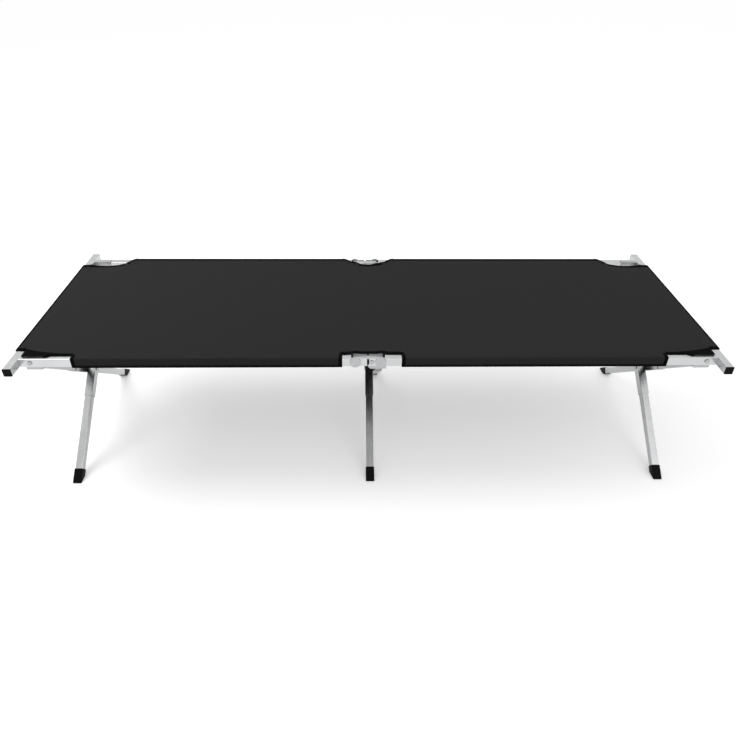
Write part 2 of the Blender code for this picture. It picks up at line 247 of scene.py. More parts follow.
def makeTapeAndShadeFinish():
    # Ribbed black tape, the ribs running across it; the same black is used for the strips and sheets of
    # painted shade
    material, tree, shader = newFinish("black binding tape", {"Specular IOR Level": 0.02})
    flat = flatPlace(tree)
    rib = wave(parts(flat)[0], tapeAndShadeSettings["ribPitch"])
    fuzz = noise(flat, tapeAndShadeSettings["fuzzScale"], 2)
    tone = 0.35 + 0.3 * rib + 0.3 * fuzz
    feed(tree, shader, {
        "Base Color": blendColour(tree, tone, tapeAndShadeSettings["dark"], tapeAndShadeSettings["light"]),
        "Roughness": 0.62 + 0.2 * fuzz,
        "Normal": bump(rib + fuzz, 0.4, tapeAndShadeSettings["relief"]),
    })
    return material


threadSettings = {
    "dark": (0.012, 0.012, 0.0125),
    "light": (0.045, 0.045, 0.047),
    "twistScale": 1600.0,
    "relief": 0.0001,
}


def makeThreadFinish():
    material, tree, shader = newFinish("sewing thread", {"Specular IOR Level": 0.2, "Sheen Weight": 0.05})
    twist = noise(stretched(objectPlace(tree), (1, 3, 3)), threadSettings["twistScale"], 2)
    feed(tree, shader, {
        "Base Color": blendColour(tree, twist, threadSettings["dark"], threadSettings["light"]),
        "Roughness": 0.55 + 0.2 * twist,
        "Normal": bump(twist, 0.3, threadSettings["relief"]),
    })
    return material


aluminiumSettings = {
    "railTone": ((0.42, 0.425, 0.43), (0.67, 0.675, 0.68)),
    "legTone": ((0.36, 0.364, 0.368), (0.60, 0.604, 0.61)),
    # painted shade: the centre legs are the same aluminium, given these darker tones for the shade and dark
    # reflections under the deck
    "shadedCentreLegTone": ((0.18, 0.182, 0.185), (0.36, 0.363, 0.368)),
    "edgeWidth": 0.0016,
    "streaks": (900.0, 900.0, 7.0),
    "cloudScale": 22.0,
    "rubs": (160.0, 160.0, 30.0),
    "relief": 0.00008,
}


def makeTubeFinish(name, centre, turn, side, tone="railTone"):
    # Extruded tube: streaks run along it, and its corners are rubbed bright
    material, tree, shader = newFinish(name, {})
    sockets = {"Vector": objectPlace(tree), "Location": centre, "Rotation": turn}
    tube = addNode(tree, "Mapping", {"vector_type": "TEXTURE"}, sockets)
    across, depth = parts(tube)[:2]
    streaks = noise(stretched(tube, aluminiumSettings["streaks"]), 1, 3, 0.6)
    clouds = noise(tube, aluminiumSettings["cloudScale"], 4, 0.6)
    rubbed = fade(noise(stretched(tube, aluminiumSettings["rubs"]), 1, 2), 0.6, 0.75)
    edge = smallest(abs(across), abs(depth))
    corner = fade(edge, side / 2 - aluminiumSettings["edgeWidth"], side / 2)
    share = 0.42 * streaks + 0.45 * clouds + 0.12 * rubbed + 0.25 * corner
    feed(tree, shader, {
        "Base Color": blendColour(tree, share, *aluminiumSettings[tone]),
        "Metallic": 1 - 0.06 * rubbed,
        "Roughness": 0.17 + 0.12 * streaks + 0.07 * clouds - 0.05 * corner,
        "Normal": bump(streaks + 0.3 * rubbed, 0.12, aluminiumSettings["relief"]),
    })
    return material


zincSettings = {
    "dull": (0.34, 0.345, 0.35),
    "bright": (0.54, 0.545, 0.55),
    "spangleScale": 260.0,
    "cloudScale": 60.0,
    "markScale": 180.0,
    "relief": 0.0001,
}


def makeZincFinish():
    # Zinc-plated pressed steel, with a fine spangle and faint handling marks
    material, tree, shader = newFinish("zinc-plated steel", {})
    place = objectPlace(tree)
    sockets = {"Vector": place, "Scale": zincSettings["spangleScale"]}
    spangle = parts(addNode(tree, "TexVoronoi", {}, sockets, 1))[0]
    clouds = noise(place, zincSettings["cloudScale"], 4, 0.6)
    marks = fade(noise(stretched(place, (1, 4, 4)), zincSettings["markScale"], 2), 0.58, 0.72)
    tone = 0.3 * spangle + 0.5 * clouds + 0.2 * marks
    feed(tree, shader, {
        "Base Color": blendColour(tree, tone, zincSettings["dull"], zincSettings["bright"]),
        "Metallic": 1 - 0.1 * marks,
        "Roughness": 0.28 + 0.14 * spangle + 0.12 * clouds,
        "Normal": bump(spangle + clouds, 0.1, zincSettings["relief"]),
    })
    return material


linkSettings = {
    # painted shade: the near black of the link's sides down inside the tubes
    "paintedShadeInTube": (0.020, 0.020, 0.021),
    "unshadedTop": (0.60, 0.605, 0.61),
    "unshadedTopDepth": 0.004,
    "cloudScale": 90.0,
    "relief": 0.0001,
}


def makeLinkFinish():
    # Steel painted near black below its top, as painted shade inside the tubes; its top keeps the steel's own
    # bright tone
    material, tree, shader = newFinish("greased steel", {})
    place = objectPlace(tree)
    height = parts(place)[2]
    clouds = noise(place, linkSettings["cloudScale"], 4, 0.6)
    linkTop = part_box("front_link")[1].z
    unshadedTop = fade(height, linkTop - linkSettings["unshadedTopDepth"], linkTop - linkSettings["unshadedTopDepth"] / 2)
    tone = unshadedTop * (0.6 + 0.5 * clouds)
    feed(tree, shader, {
        "Base Color": blendColour(tree, tone, linkSettings["paintedShadeInTube"], linkSettings["unshadedTop"]),
        "Metallic": 1 - 0.1 * clouds,
        "Roughness": 0.5 - 0.2 * unshadedTop + 0.15 * clouds,
        "Normal": bump(clouds, 0.1, linkSettings["relief"]),
    })
    return material


plasticSettings = {
    "dark": (0.0012, 0.0012, 0.0014),
    "light": (0.0050, 0.0050, 0.0054),
    "grainScale": 1300.0,
    "scuffScale": 70.0,
    "relief": 0.00012,
}


def makePlasticFinish():
    # Moulded black plastic with a fine spark grain, scuffed a little
    material, tree, shader = newFinish("moulded black plastic", {"Specular IOR Level": 0.07})
    place = objectPlace(tree)
    grain = noise(place, plasticSettings["grainScale"], 2)
    scuff = fade(noise(stretched(place, (1, 1, 3)), plasticSettings["scuffScale"], 4, 0.6), 0.55, 0.8)
    tone = 0.3 * grain + 0.5 * scuff
    feed(tree, shader, {
        "Base Color": blendColour(tree, tone, plasticSettings["dark"], plasticSettings["light"]),
        "Roughness": 0.42 + 0.12 * grain + 0.12 * scuff,
        "Normal": bump(grain, 0.25, plasticSettings["relief"]),
    })
    return material


clothFinish = makeClothFinish()
tapeAndShadeFinish = makeTapeAndShadeFinish()
threadFinish = makeThreadFinish()
zincFinish = makeZincFinish()
linkFinish = makeLinkFinish()
plasticFinish = makePlasticFinish()
print("finishes made")


# Metal and plastic nodes keep their solids and get these finishes

alongX = (0, math.pi / 2, 0)
alongY = (math.pi / 2, 0, 0)
legLean = {"across": 0.8, "up": 0.6}  # how much of a leg's box is its own thickness, in leg sides


def paint(name, material):
    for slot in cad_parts[name].material_slots:
        slot.material = material


def middle(name):
    low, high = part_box(name)
    return (low + high) / 2


def makeLegFinish(station, side, way):
    low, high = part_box(f"{station}_{side}_leg")
    across = high.y - low.y - legLean["across"] * legSide
    up = high.z - low.z - legLean["up"] * legSide
    lean = (-way * math.atan2(across, up), 0, 0)
    # the centre legs take the darker tones, painted shade under the deck
    tone = "shadedCentreLegTone" if station == "centre" else "legTone"
    return makeTubeFinish(f"{station} {side} leg aluminium", tuple((low + high) / 2), lean, legSide, tone)


for side, way in sideWay.items():
    railFinish = makeTubeFinish(f"{side} rail aluminium", (0, way * railY, railZ), alongX, railSide)
    for half in halfWay:
        paint(f"{side}_{half}_rail", railFinish)
        paint(f"{side}_{half}_hinge_pin", zincFinish)
    paint(f"{side}_link", linkFinish)
for half, way in halfWay.items():
    paint(f"{half}_end_bar", makeTubeFinish(f"{half} bar aluminium", (way * barX, 0, railZ), alongY, barSide))
    for side in sideWay:
        paint(f"{half}_{side}_bar_cap", plasticFinish)
for station in ("left", "centre", "right"):
    paint(f"{station}_crossing_pin", zincFinish)
    for side, way in sideWay.items():
        legFinish = makeLegFinish(station, side, way)
        paint(f"{station}_{side}_leg", legFinish)
        paint(f"{station}_{side}_leg_sleeve", legFinish)
        paint(f"{station}_{side}_leg_foot", plasticFinish)
        paint(f"{station}_{side}_hanger", zincFinish)
        paint(f"{station}_{side}_swivel", zincFinish)
print("metal and plastic finished")


# Shape of the cover: its openings at the middle and the corners, and how it hangs

cover = {
    "thickness": 0.0014,
    "cornerRadius": 0.0035,
    "tongueDepth": 0.047,
    "seamGap": 0.0001,
    "sag": 0.0025,
    "sagPower": 8,  # the higher, the flatter the cloth lies along its length
    "pucker": 0.0004,
    "puckerPitch": 0.034,
    "puckerReach": 0.012,
    "calmEnd": 0.05,  # the puckers die out over this length at the ends
    "centreDip": 0.0035,
    "centreDipReach": 0.02,
    "cornerDip": 0.0075,
    "cornerDipReach": 0.028,
    "cornerDipPower": 0.8,
    "pinBump": 0.0025,
    "pinAlong": 0.010,
    "pinAcross": 0.016,
    "pinProud": 0.001,
}
# In front the cloth lies over the rail's inner half, and its openings are square
frontOpening = {
    "half": 0.0800,
    "fillet": 0.004,
    "depth": 0.0225,
    "hingeDepth": 0.0243,
    "hingeHalf": 0.047,
    "hingeEase": 0.008,
    "cornerStart": 0.159,
    "cornerDepth": 0.0235,
    "cornerPower": 2.2,
}
# Behind it hangs clear of the rail, in an arc at the middle and on a slant at the corners
backOpening = {
    "radius": 0.0975,
    "depth": 0.039,
    "linkReach": 0.0590,
    "linkDepth": 0.0235,
    "linkSlope": 2.8,
    "cornerStart": 0.160,
    "cornerDepth": 0.0353,
    "slant": 0.024,
}
cornerStart = {
    "front": frameEndX - frontOpening["cornerStart"],
    "back": frameEndX - backOpening["cornerStart"],
}


def eased(share):
    share = min(max(share, 0), 1)
    return share * share * (3 - 2 * share)


def roundedOff(run, radius):
    # How far a rounded corner has fallen back, this far along its run
    return radius - math.sqrt(max(radius ** 2 - run ** 2, 0)) if run > 0 else 0


def frontCentreDepth(x):
    # Depth of the opening from the outer edge: deeper between the hinge pins, rounded at both ends
    shallow, deep = frontOpening["depth"], frontOpening["hingeDepth"]
    beside = (abs(x - foldX) - frontOpening["hingeHalf"]) / frontOpening["hingeEase"]
    run = abs(x) - frontOpening["half"] + frontOpening["fillet"]
    return deep + (shallow - deep) * eased(beside) - roundedOff(run, frontOpening["fillet"])


def backCentreDepth(x):
    radius = backOpening["radius"]
    return backOpening["depth"] - radius + math.sqrt(max(radius ** 2 - x ** 2, 0))


def backCentreReach(depth):
    # Half width of the arc here, cut back over the rail, where the link stands up as the cot folds
    radius = backOpening["radius"]
    arc = math.sqrt(max(radius ** 2 - (radius - backOpening["depth"] + depth) ** 2, 0))
    past = max(depth - backOpening["linkDepth"], 0)
    return max(arc, backOpening["linkReach"] - backOpening["linkSlope"] * past)


def backCornerReach(depth):
    return cornerStart["back"] + backOpening["slant"] * min(depth / backOpening["cornerDepth"], 1)


def cornerDepthAt(x, side):
    run = abs(x) - cornerStart[side]
    if run <= 0:
        return 0
    whole = deckEndX - cornerStart[side]
    if side == "front":
        depth = frontOpening["cornerDepth"]
        return depth + (cover["tongueDepth"] - depth) * (run / whole) ** frontOpening["cornerPower"]
    depth, slant = backOpening["cornerDepth"], backOpening["slant"]
    if run < slant:
        return depth * run / slant
    return depth + (cover["tongueDepth"] - depth) * (run - slant) / (whole - slant)


def deckEdge(x, side):
    # Distance of the deck's long edge from the middle of the cot
    if side == "front":
        if abs(x) < frontOpening["half"]:
            return outerY - frontCentreDepth(x)
        depth = cornerDepthAt(x, side)
        return outerY - depth if depth else seamY
    return min(seamY, outerY - max(backCentreDepth(x), cornerDepthAt(x, side)))


pinPlaces = [middle("back_left_hinge_pin").x, middle("back_right_hinge_pin").x]
pinHeadY = railLow.y - cover["pinProud"]


def coverHeight(x, y):
    # Stretched cloth: a slight sag, soft dips along the open back edges, and puckers beside the seams
    side = "front" if y < 0 else "back"
    fromEdge = max(deckEdge(x, side) - abs(y), 0)
    height = coverTop
    if abs(y) < seamY:
        height -= cover["sag"] * (1 - (y / seamY) ** 2) * (1 - (x / deckEndX) ** cover["sagPower"])
        nearEnd = max(1 - abs(deckEndX - abs(x)) / cover["calmEnd"], 0)
        wrinkle = math.sin(2 * math.pi * x / cover["puckerPitch"])
        wrinkle *= math.exp((abs(y) - seamY) / cover["puckerReach"])
        height -= cover["pucker"] * (1 - nearEnd) * wrinkle
    opening, corner = backCentreReach(seamDepth), backCornerReach(seamDepth)
    if side == "back" and abs(x) < opening:
        dip = cover["centreDip"] * (1 - (x / opening) ** 2)
        height -= dip * math.exp(-fromEdge / cover["centreDipReach"])
    if side == "back" and corner < abs(x) < deckEndX:
        along = (abs(x) - corner) / (deckEndX - corner)
        dip = cover["cornerDip"] * math.sin(math.pi * along) ** cover["cornerDipPower"]
        height -= dip * math.exp(-fromEdge / cover["cornerDipReach"])
    for pinX in pinPlaces:
        along = (x - pinX) / cover["pinAlong"]
        across = (abs(y) - pinHeadY) / cover["pinAcross"]
        height += cover["pinBump"] * math.exp(-(along ** 2 + across ** 2))
    return height


# Shared by the sheets: runs of numbers, outlines and meshes

boxSteps = {"top": 8, "corner": 4, "inner": 4}
smoothAngle = math.radians(40)


def spread(start, end, count):
    return [start + (end - start) * k / count for k in range(count + 1)]


def joinRuns(*runs):
    # Runs of numbers that follow each other, the shared ends kept once
    whole = list(runs[0])
    for run in runs[1:]:
        whole += run[1:]
    return whole


def runLengths(points):
    lengths = [0]
    for one, two in zip(points, points[1:]):
        lengths.append(lengths[-1] + math.dist(one, two))
    return lengths


def bandArea(places, widths):
    steps = zip(places, places[1:], widths, widths[1:])
    return sum(abs(after - before) * (one + two) / 2 for before, after, one, two in steps)


def boxProfile(depthIn, low, high):
    # Outline round a square tube, from its top inner edge outwards over the top, down, under and up
    radius = cover["cornerRadius"]
    points = [(depth, high) for depth in spread(depthIn, radius, boxSteps["top"])[:-1]]
    corners = [(radius, high - radius, 90, 180), (radius, low + radius, 180, 270),
               (depthIn - radius, low + radius, 270, 360)]
    for depth, z, begin, end in corners:
        for angle in spread(math.radians(begin), math.radians(end), boxSteps["corner"]):
            points.append((depth + radius * math.cos(angle), z + radius * math.sin(angle)))
    inner = spread(low + radius, high - 2 * cover["thickness"], boxSteps["inner"])
    return points + [(depthIn, z) for z in inner[1:]]


def profileNormals(points, centre):
    # Outward normals along an outline in the plane across the tube
    normals = []
    for k in range(len(points)):
        one, two = points[max(k - 1, 0)], points[min(k + 1, len(points) - 1)]
        du, dv = two[0] - one[0], two[1] - one[1]
        normal = (dv, -du)
        if normal[0] * (points[k][0] - centre[0]) + normal[1] * (points[k][1] - centre[1]) < 0:
            normal = (-dv, du)
        normals.append(normal)
    return normals


def finishPiece(name, mesh, thickness, finish):
    piece = bpy.data.objects.new(name, mesh)
    bpy.context.collection.objects.link(piece)
    mesh.materials.append(finish)
    bpy.ops.object.select_all(action="DESELECT")
    piece.select_set(True)
    bpy.context.view_layer.objects.active = piece
    if thickness:
        solid = piece.modifiers.new("thickness", "SOLIDIFY")
        solid.thickness = thickness
        solid.offset = -1
        solid.use_even_offset = True
        bpy.ops.object.modifier_apply(modifier=solid.name)
    bpy.ops.object.shade_smooth_by_angle(angle=smoothAngle)
    return piece


def clothSheet(name, grid, flat, inside, thickness, finish):
    # A sheet through a grid of points, facing away from the point that inside gives
    rows = len(grid[0])
    points = [point for column in grid for point in column]
    spots = [spot for column in flat for spot in column]
    faces = []
    for i in range(len(grid) - 1):
        for j in range(rows - 1):
            corner = i * rows + j
            faces.append((corner, corner + rows, corner + rows + 1, corner + 1))
    mesh = bpy.data.meshes.new(name)
    mesh.from_pydata(points, [], faces)
    layer = mesh.uv_layers.new(name="flat")
    for loop in mesh.loops:
        layer.data[loop.index].uv = spots[loop.vertex_index]
    sample = mesh.polygons[len(mesh.polygons) // 2]
    if sample.normal.dot(sample.center - Vector(inside(sample.center))) < 0:
        mesh.flip_normals()
    return finishPiece(name, mesh, thickness, finish)


def onFloor(point):
    # The point under a flat sheet that it faces away from
    return point.x, point.y, 0


# Binding tape, folded over an open edge of the cover

binding = {
    "width": 0.0090,
    "wide": 0.0180,  # where the cloth beside the edge slopes
    "proud": 0.0005,
    "under": 0.0019,
    "lip": 0.0009,
    "bevel": 0.0005,
    "underBevel": 0.0004,
}


def tapeOutline(width):
    # Across the tape: how far in from the cloth's edge, and the height over the cloth
    proud, under, lip, bevel = (binding[key] for key in ("proud", "under", "lip", "bevel"))
    return [(width, hair), (width - bevel, proud), (bevel, proud), (-lip, 0), (-lip, bevel - under),
            (bevel, -under), (width - bevel, -under), (width, binding["underBevel"] - under)]


def tape(name, paths):
    # Each path is its points, the cloth's normals there, a direction into the cloth, and the tape's width
    bm = bmesh.new()
    layer = bm.loops.layers.uv.new("flat")
    for points, normals, inward, width in paths:
        outline = tapeOutline(width)
        around = runLengths(outline + outline[:1])
        lengths = runLengths(points)
        ways = []
        for k in range(len(points)):
            ahead = Vector(points[min(k + 1, len(points) - 1)]) - Vector(points[max(k - 1, 0)])
            ways.append(Vector(normals[k]).cross(ahead).normalized())
        if sum(way.dot(Vector(inward)) for way in ways) < 0:
            ways = [-way for way in ways]
        rings = []
        for point, normal, way in zip(points, normals, ways):
            up = Vector(normal).normalized()
            rings.append([bm.verts.new(Vector(point) + way * a + up * b) for a, b in outline])
        for k in range(len(rings) - 1):
            for i in range(len(outline)):
                j = (i + 1) % len(outline)
                face = bm.faces.new((rings[k][i], rings[k][j], rings[k + 1][j], rings[k + 1][i]))
                spots = ((lengths[k], around[i]), (lengths[k], around[i + 1]),
                         (lengths[k + 1], around[i + 1]), (lengths[k + 1], around[i]))
                for loop, spot in zip(face.loops, spots):
                    loop[layer].uv = spot
        bm.faces.new(rings[0])
        bm.faces.new(rings[-1])
    bmesh.ops.recalc_face_normals(bm, faces=bm.faces)
    mesh = bpy.data.meshes.new(name)
    bm.to_mesh(mesh)
    bm.free()
    return finishPiece(name, mesh, 0, tapeAndShadeFinish)


# Deck: one stretched cloth, in two pieces that meet at the fold

deck = {
    "openingColumns": 44,
    "columns": 90,
    "cornerColumns": 44,
    "rows": 44,
    "frontTape": (30, 8),
    "backTape": 20,
    "cornerTape": 28,
}


def easedRows(count):
    # Closer together near both long edges, where the cloth dips
    return [0.5 * t + 0.5 * (0.5 - 0.5 * math.cos(math.pi * t)) for t in spread(0, 1, count)]


def deckTapePath(side, xs):
    # The tape follows the deck's edge, tilted to the cloth's slope beside it
    across = sideWay[side]
    width = binding["wide"] if side == "back" else binding["width"]
    points, normals = [], []
    for x in xs:
        y = across * deckEdge(x, side)
        z = coverHeight(x, y)
        points.append((x, y, z))
        normals.append((0, -across * (z - coverHeight(x, y - across * width)) / width, 1))
    return points, normals, (0, -across, 0), width


def makeDeck(half):
    way, gap = halfWay[half], cover["seamGap"]
    opening, corner = frontOpening["half"], cornerStart["front"]
    columns = spread(foldX, way * (opening - gap), deck["openingColumns"])
    columns += spread(way * (opening + gap), way * (corner - gap), deck["columns"])
    columns += spread(way * (corner + gap), way * deckEndX, deck["cornerColumns"])
    grid, flat = [], []
    for x in columns:
        front, back = -deckEdge(x, "front"), deckEdge(x, "back")
        row = [front + (back - front) * t for t in easedRows(deck["rows"])]
        grid.append([(x, y, coverHeight(x, y)) for y in row])
        flat.append([(x, y) for y in row])
    cloth = clothSheet(f"deck_{half}_cloth", grid, flat, onFloor, cover["thickness"], clothFinish)
    area = bandArea(columns, [deckEdge(x, "front") + deckEdge(x, "back") for x in columns])
    filletX = way * (opening - frontOpening["fillet"])
    straight, fillet = deck["frontTape"]
    edging = tape(f"deck_{half}_binding", [
        deckTapePath("front", joinRuns(spread(foldX, filletX, straight),
                                       spread(filletX, way * (opening - gap), fillet))),
        deckTapePath("back", spread(foldX, way * backCentreReach(seamDepth), deck["backTape"])),
        deckTapePath("back", spread(way * backCornerReach(seamDepth), way * deckEndX, deck["cornerTape"])),
    ])
    return cloth, edging, area


# Corner shade sheets: black sheets on the front corners, from the deck's edge over the rail's inner half,
# painted shade of the dark gap under the cloth's edge

cornerShadeSheet = {
    "startBefore": 0.001,
    "end": 0.9225,
    "rounding": 0.004,
    "outerDepth": 0.0171,
    "lipDepth": 0.0115,
    "lipStart": 0.845,
    "lipEase": 0.017,
    "lap": 0.0015,
    "lift": 0.0011,
    "drop": 0.0015,
    "dropStart": 0.3,
    "thickness": 0.0009,
    "columns": 48,
    "roundColumns": 8,
    "rows": 6,
}


def makeCornerShadeSheet(half):
    # painted shade: a black sheet where the dark gap under the cloth's edge shows
    start, end = cornerStart["front"] - cornerShadeSheet["startBefore"], cornerShadeSheet["end"]
    rounding, narrow, wide = (cornerShadeSheet[key] for key in ("rounding", "outerDepth", "lipDepth"))
    xs = joinRuns(spread(start, end - rounding, cornerShadeSheet["columns"]),
                  spread(end - rounding, end, cornerShadeSheet["roundColumns"]))
    grid, flat = [], []
    for x in xs:
        inner = deckEdge(max(x, cornerStart["front"] + hair), "front") - cornerShadeSheet["lap"]
        onLip = eased((x - cornerShadeSheet["lipStart"]) / cornerShadeSheet["lipEase"])
        outer = outerY - narrow - (wide - narrow) * onLip - roundedOff(x - end + rounding, rounding)
        column, spots = [], []
        for t in spread(0, 1, cornerShadeSheet["rows"]):
            y = inner + (outer - inner) * t
            drop = cornerShadeSheet["drop"] * eased(2 * (t - cornerShadeSheet["dropStart"])) * (1 - onLip)
            column.append((halfWay[half] * x, -y, coverTop + cornerShadeSheet["lift"] - drop))
            spots.append((x, y))
        grid.append(column)
        flat.append(spots)
    return clothSheet(f"{half}_corner_shade_sheet", grid, flat, onFloor, cornerShadeSheet["thickness"],
                      tapeAndShadeFinish)


# Sleeves along the rails

sideSleeve = {
    "columns": 110,
    "turnUp": 0.001,  # the cloth is under the rail from this far over its lowest part
    "frontTapeLap": 0.002,
    "backTapeLap": 0.001,
    # black strips of painted shade: round the sleeve's lower outer corner, and on the back sleeves round its
    # upper outer corner
    "shadeStripHeight": 0.0085,
    "shadeStripUnder": 0.007,
    "topShadeStrip": 0.0150,
    "topShadeStripDown": 0.006,
    "shadeStripProud": 0.0005,
    "shadeStripThickness": 0.0005,
    "shadeStripInset": 0.004,
}


def sleeveEnds(depth, side, under):
    # Ends of the sleeve along the cot, this far in from its outer edge
    if side == "front":
        return frontOpening["half"], cornerStart["front"]
    depth = 0 if under else max(depth, 0)
    return backCentreReach(depth), backCornerReach(depth)


def isUnder(z):
    return z < coverBottom + sideSleeve["turnUp"]


def sleeveGrid(side, half, profile):
    # Points of the sleeve and of its flat cloth, and the ends of each of its rows
    across, along = sideWay[side], halfWay[half]
    lengths = runLengths(profile)
    turned = next(k for k, (depth, z) in enumerate(profile) if isUnder(z))
    ends = [sleeveEnds(depth, side, k >= turned) for k, (depth, z) in enumerate(profile)]
    grid, flat = [], []
    for t in spread(0, 1, sideSleeve["columns"]):
        column, spots = [], []
        for (depth, z), (near, far), length in zip(profile, ends, lengths):
            x, y = along * (near + (far - near) * t), across * (outerY - depth)
            lift = coverHeight(x, y) - coverTop if z > coverTop - hair else 0
            column.append((x, y, z + lift))
            spots.append((x, length))
        grid.append(column)
        flat.append(spots)
    return grid, flat, ends


def sleeveTapePath(column, profile, side, inward, cutDepth):
    # The free part of a sleeve's end: where it is sewn on to the deck it has no edge
    across = sideWay[side]
    free = [k for k, (depth, z) in enumerate(profile) if z < coverTop - hair or depth < cutDepth]
    points = [column[k] for k in free]
    outline = [profile[k] for k in free]
    if free[0]:
        points.insert(0, (column[free[0]][0], across * (outerY - cutDepth), coverTop))
        outline.insert(0, (cutDepth, coverTop))
    places = [(across * (outerY - depth), z) for depth, z in outline]
    normals = [(0, *normal) for normal in profileNormals(places, (across * railY, railZ))]
    return points, normals, (inward, 0, 0), binding["width"]


def underShadePath(profile):
    # The stretch of the outline round the lower outer corner, which a black strip covers as painted shade
    # under the sleeve
    up, under = coverBottom + sideSleeve["shadeStripHeight"], sideSleeve["shadeStripUnder"]
    chosen = [(depth, z) for depth, z in profile if depth < under and z < up]
    return [(0, up)] + chosen + [(under, coverBottom)]


def topShadeStripPath(profile):
    # The stretch of the outline round the upper outer corner, which a black strip covers on the back sleeves
    # as painted shade where the cloth turns down over the rail
    down = coverTop - sideSleeve["topShadeStripDown"]
    chosen = [(depth, z) for depth, z in profile if depth < cover["cornerRadius"] + hair and z > down]
    return [(sideSleeve["topShadeStrip"], coverTop)] + chosen + [(0, down)]


def makeShadeStrip(name, side, half, path):
    # A black strip of painted shade over the sleeve along the path, a little short of both ends
    across, along = sideWay[side], halfWay[half]
    proud, inset = sideSleeve["shadeStripProud"], sideSleeve["shadeStripInset"]
    normals = profileNormals([(-depth, z) for depth, z in path], (-seamDepth / 2, railZ))
    shifted = []
    for (depth, z), (ny, nz) in zip(path, normals):
        size = math.hypot(ny, nz)
        shifted.append((depth - proud * ny / size, z + proud * nz / size))
    lengths = runLengths(shifted)
    grid, flat = [], []
    for t in spread(0, 1, sideSleeve["columns"]):
        column, spots = [], []
        for (depth, z), length in zip(shifted, lengths):
            near, far = sleeveEnds(depth, side, isUnder(z))
            x = along * (near + inset + (far - near - 2 * inset) * t)
            column.append((x, across * (outerY - depth), z))
            spots.append((x, length))
        grid.append(column)
        flat.append(spots)
    return clothSheet(name, grid, flat, lambda p: (p.x, across * railY, railZ), sideSleeve["shadeStripThickness"],
                      tapeAndShadeFinish)


def makeSideSleeve(side, half):
    across, along = sideWay[side], halfWay[half]
    profile = boxProfile(seamDepth, coverBottom, coverTop)
    grid, flat, ends = sleeveGrid(side, half, profile)
    cloth = clothSheet(f"{side}_{half}_sleeve_cloth", grid, flat, lambda p: (p.x, across * railY, railZ),
                       cover["thickness"], clothFinish)
    lengths = runLengths(profile)
    spans = [far - near for near, far in ends]
    if side == "front":
        nearCut = frontOpening["depth"] - frontOpening["fillet"]
        farCut = cornerShadeSheet["outerDepth"] + sideSleeve["frontTapeLap"]
    else:
        nearCut = farCut = seamDepth + sideSleeve["backTapeLap"]
    edging = tape(f"{side}_{half}_sleeve_binding", [
        sleeveTapePath(grid[0], profile, side, along, nearCut),
        sleeveTapePath(grid[-1], profile, side, -along, farCut),
    ])
    shadeStrips = [makeShadeStrip(f"{side}_{half}_sleeve_shade_strip", side, half, underShadePath(profile))]
    # the back sleeves also get a black strip of painted shade round the upper outer corner
    if side == "back":
        shadeStrips.append(makeShadeStrip(f"{side}_{half}_sleeve_top_hem", side, half, topShadeStripPath(profile)))
    return cloth, edging, shadeStrips, (lengths[-1], max(spans), bandArea(lengths, spans))


# Sleeves round the end bars

endSleeve = {
    "columns": 60,
    "shadeStripTop": 0.006,
    "shadeStripDown": 0.011,
    "shadeStripProud": 0.0005,
    "shadeStripThickness": 0.0006,
    "shadeStripInset": 0.004,
    "shadeStripFace": 0.002,  # the shade strip stands proud sideways as far in as this
    "flapIn": 0.0145,
    "flapOut": 0.0002,
    "flapDrop": 0.0024,
    "flapInset": 0.002,
    "flapThickness": 0.0011,
    "flapColumns": 4,
}


def makeEndFlap(half):
    # The tuck of cloth under the deck's end, which draws out as the end bar is pulled
    way, inset = halfWay[half], endSleeve["flapInset"]
    xs = spread(deckEndX - endSleeve["flapIn"], deckEndX + endSleeve["flapOut"], endSleeve["flapColumns"])
    grid, flat = [], []
    for y in spread(inset - tongueY, tongueY - inset, endSleeve["columns"]):
        grid.append([(way * x, y, coverHeight(way * x, y) - endSleeve["flapDrop"]) for x in xs])
        flat.append([(x, y) for x in xs])
    return clothSheet(f"{half}_end_flap", grid, flat, onFloor, endSleeve["flapThickness"], clothFinish)


def endProfile():
    # Outline round the end bar, drawn up to the deck's height along its top
    size = endSleeveHigh.x - endSleeveLow.x
    profile = boxProfile(size + endSleeveLow.x - deckEndX, endSleeveLow.z, endSleeveTop)
    radius = cover["cornerRadius"]
    run = profile[0][0] - radius
    shaped = []
    for depth, z in profile:
        share = max(depth - radius, 0) / run
        onTop = z > endSleeveTop - hair
        rise = (coverTop - endSleeveTop) * share ** 2
        shaped.append((depth, z + rise) if onTop else (min(depth, size), z))
    return shaped


def makeEndShadeStrip(half, profile):
    # A black strip of painted shade over the end sleeve's upper outer corner and down its outer face
    way, inset, proud = halfWay[half], endSleeve["shadeStripInset"], endSleeve["shadeStripProud"]
    top, down = endSleeve["shadeStripTop"], endSleeveTop - endSleeve["shadeStripDown"]
    stripPath = [(depth, z) for depth, z in profile if depth < top and z > down]
    stripPath = [(top, stripPath[0][1])] + stripPath + [(0, down)]
    grid, flat = [], []
    for y in spread(inset - tongueY, tongueY - inset, endSleeve["columns"]):
        column = []
        for depth, z in stripPath:
            out = proud if depth < endSleeve["shadeStripFace"] else 0
            column.append((way * (endSleeveHigh.x - depth + out), y, z + proud))
        grid.append(column)
        flat.append([(y, length) for length in runLengths(stripPath)])
    return clothSheet(f"{half}_end_sleeve_shade_strip", grid, flat, lambda p: (way * barX, p.y, railZ),
                      endSleeve["shadeStripThickness"], tapeAndShadeFinish)


